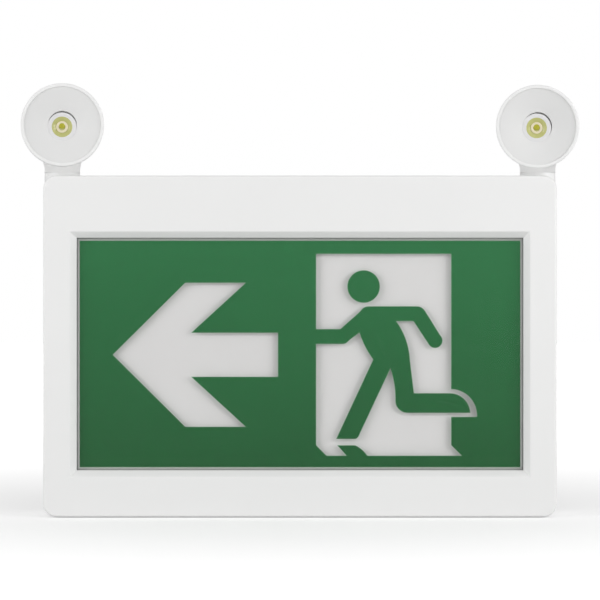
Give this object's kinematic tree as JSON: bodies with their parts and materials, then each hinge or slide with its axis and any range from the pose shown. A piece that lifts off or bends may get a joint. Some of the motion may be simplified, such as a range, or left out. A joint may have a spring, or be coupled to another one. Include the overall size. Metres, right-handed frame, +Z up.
{
  "type": "emergency exit light",
  "caption": "Wall-mounted running-figure exit sign in a white bevelled box, with a swivelling, tilting round emergency lamp head on each top corner.",
  "frame": {"origin": "middle of the two-hole wall fixing pattern, on the plane of the back face", "axes": "+X to the right as seen from the front, +Z up, front of the sign towards -Y, wall on the +Y side"},
  "size_m": [0.337, 0.0552, 0.2613],
  "materials": {
    "housing_white": "satin moulded white plastic",
    "cover_white": "satin moulded white plastic, fine grain",
    "clear_sheet": "clear glossy sheet",
    "legend_green": "translucent safety-green print, glossy through the window",
    "opal_white": "opal white diffuser",
    "reflector_white": "matt white reflector tray",
    "board_white": "white solder mask",
    "chip_yellow": "yellow phosphor",
    "board_green": "green solder mask",
    "lamination_steel": "stacked laminations",
    "copper_wire": "enamelled copper winding",
    "component_black": "moulded black case",
    "terminal_green": "moulded green terminal block",
    "capacitor_red": "dipped film capacitor",
    "battery_sleeve": "shrink sleeve",
    "zinc_steel": "zinc plated",
    "pilot_red": "translucent red lens",
    "button_grey": "moulded grey cap",
    "dish_white": "fine satin white",
    "spreader_aluminium": "plain sheet",
    "optic_clear": "clear moulded optic"
  },
  "bodies": {
    "sign": {"rear_housing": "housing_white", "front_cover": "cover_white", "legend_window": "clear_sheet", "legend_print": "legend_green", "diffuser_panel": "opal_white", "light_box": "reflector_white", "led_strip_top": "board_white", "led_strip_bottom": "board_white", "led_chips_top": "chip_yellow", "led_chips_bottom": "chip_yellow", "charger_board": "board_green", "transformer_core": "lamination_steel", "transformer_winding": "copper_wire", "transfer_relay": "component_black", "terminal_block": "terminal_green", "capacitors": "capacitor_red", "battery_pack": "battery_sleeve", "battery_strap": "zinc_steel", "indicator_board": "board_green", "test_switch": "component_black", "pilot_light": "pilot_red", "hex_screws": "zinc_steel"},
    "test_key": {"test_button": "button_grey", "switch_plunger": "component_black"},
    "left_neck": {"left_swivel_neck": "housing_white", "left_neck_nut": "zinc_steel", "left_tilt_screw": "zinc_steel", "left_tilt_nut": "zinc_steel"},
    "left_lamp": {"left_lamp_shell": "housing_white", "left_lamp_dish": "dish_white", "left_heat_sink": "spreader_aluminium", "left_emitter_board": "board_white", "left_emitter": "chip_yellow", "left_optic": "optic_clear"},
    "right_neck": {"right_swivel_neck": "housing_white", "right_neck_nut": "zinc_steel", "right_tilt_screw": "zinc_steel", "right_tilt_nut": "zinc_steel"},
    "right_lamp": {"right_lamp_shell": "housing_white", "right_lamp_dish": "dish_white", "right_heat_sink": "spreader_aluminium", "right_emitter_board": "board_white", "right_emitter": "chip_yellow", "right_optic": "optic_clear"}
  },
  "joints": [
    {"name": "left_pan", "type": "hinge", "parent": "sign", "child": "left_neck", "pos_m": [-0.1454, -0.026, 0.1054], "axis": [0, 0, 1], "range_deg": [-95.5, 84.5]},
    {"name": "left_tilt", "type": "hinge", "parent": "left_neck", "child": "left_lamp", "pos_m": [-0.14444, -0.03595, 0.1333], "axis": [-0.9954, -0.0958, 0], "range_deg": [-22, 60]},
    {"name": "right_pan", "type": "hinge", "parent": "sign", "child": "right_neck", "pos_m": [0.1454, -0.026, 0.1054], "axis": [0, 0, 1], "range_deg": [-84.5, 95.5]},
    {"name": "right_tilt", "type": "hinge", "parent": "right_neck", "child": "right_lamp", "pos_m": [0.14444, -0.03595, 0.1333], "axis": [-0.9954, 0.0958, 0], "range_deg": [-18, 64]},
    {"name": "test_press", "type": "slide", "parent": "sign", "child": "test_key", "axis": [0, 0, 1], "range_m": [0, 0.0008], "stiffness_N_per_m": 800, "springref_m": -0.001}
  ]
}
